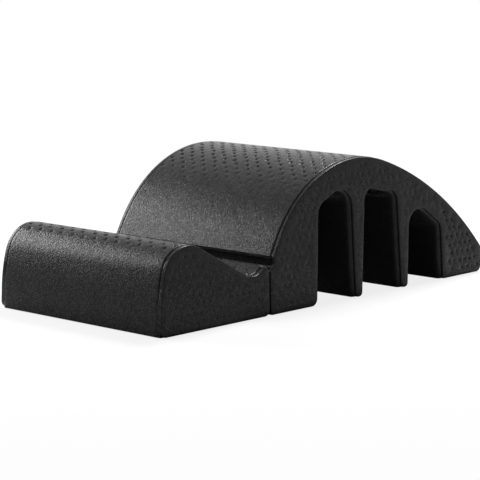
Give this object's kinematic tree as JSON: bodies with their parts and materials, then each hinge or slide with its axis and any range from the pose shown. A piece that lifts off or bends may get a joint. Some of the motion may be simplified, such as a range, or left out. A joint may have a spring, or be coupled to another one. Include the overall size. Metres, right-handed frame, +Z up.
{
  "type": "pilates spine corrector",
  "caption": "Barrel-shaped foam arch for lying back over, with slots through it and a low rounded step that lifts off its front.",
  "frame": {"origin": "on the floor, under the middle of the whole object", "axes": "+X along the length from the step to the arch's tail, +Y across the width, +Z up"},
  "size_m": [0.8766, 0.3998, 0.2531],
  "materials": {
    "step_foam": "moulded EPP bead foam, satin",
    "arch_foam": "moulded EPP bead foam, satin"
  },
  "bodies": {
    "arch": {"arch_barrel": "arch_foam"},
    "step": {"step_wedge": "step_foam"}
  },
  "joints": [
    {"name": "step_lift", "type": "slide", "parent": "arch", "child": "step", "axis": [0, 0, 1], "range_m": [0, 0.06]}
  ]
}
